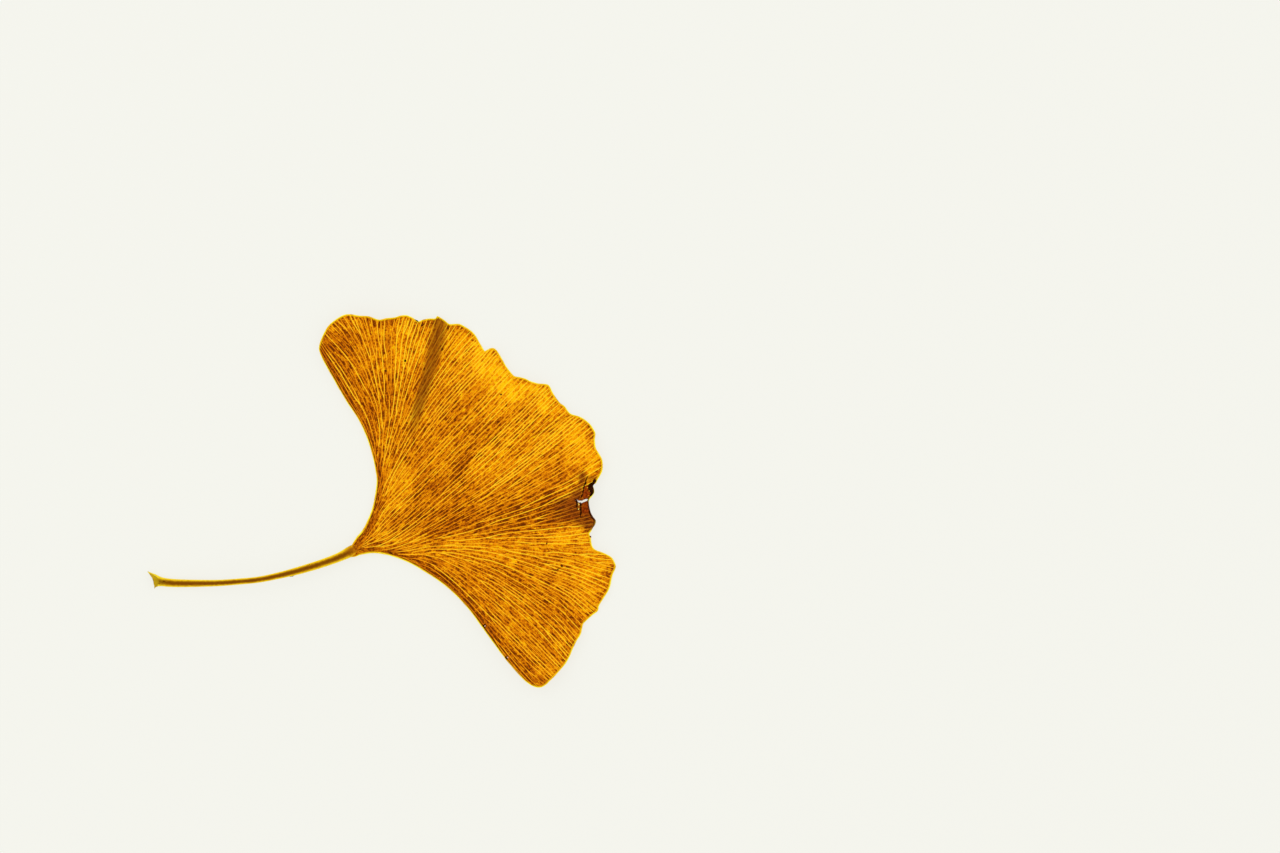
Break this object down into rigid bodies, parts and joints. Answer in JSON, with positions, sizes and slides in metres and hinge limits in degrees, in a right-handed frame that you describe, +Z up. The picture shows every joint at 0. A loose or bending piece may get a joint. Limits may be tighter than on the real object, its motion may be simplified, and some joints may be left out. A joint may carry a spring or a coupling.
{
  "type": "ginkgo leaf",
  "caption": "Dried golden ginkgo leaf: fan-shaped blade with forking veins and a waved, notched margin on a long curved stalk with a torn end.",
  "frame": {"origin": "middle of the leaf's box, on the surface that the leaf lies on", "axes": "+Z up, out of the leaf's upper face; +X from the torn end of the stalk towards the fan's outer margin; +Y towards the fan's upper corner"},
  "size_m": [0.0936, 0.074, 0.0042],
  "materials": {
    "dried_leaf": "satin"
  },
  "bodies": {
    "root": {"ginkgo_leaf": "dried_leaf"}
  },
  "joints": []
}
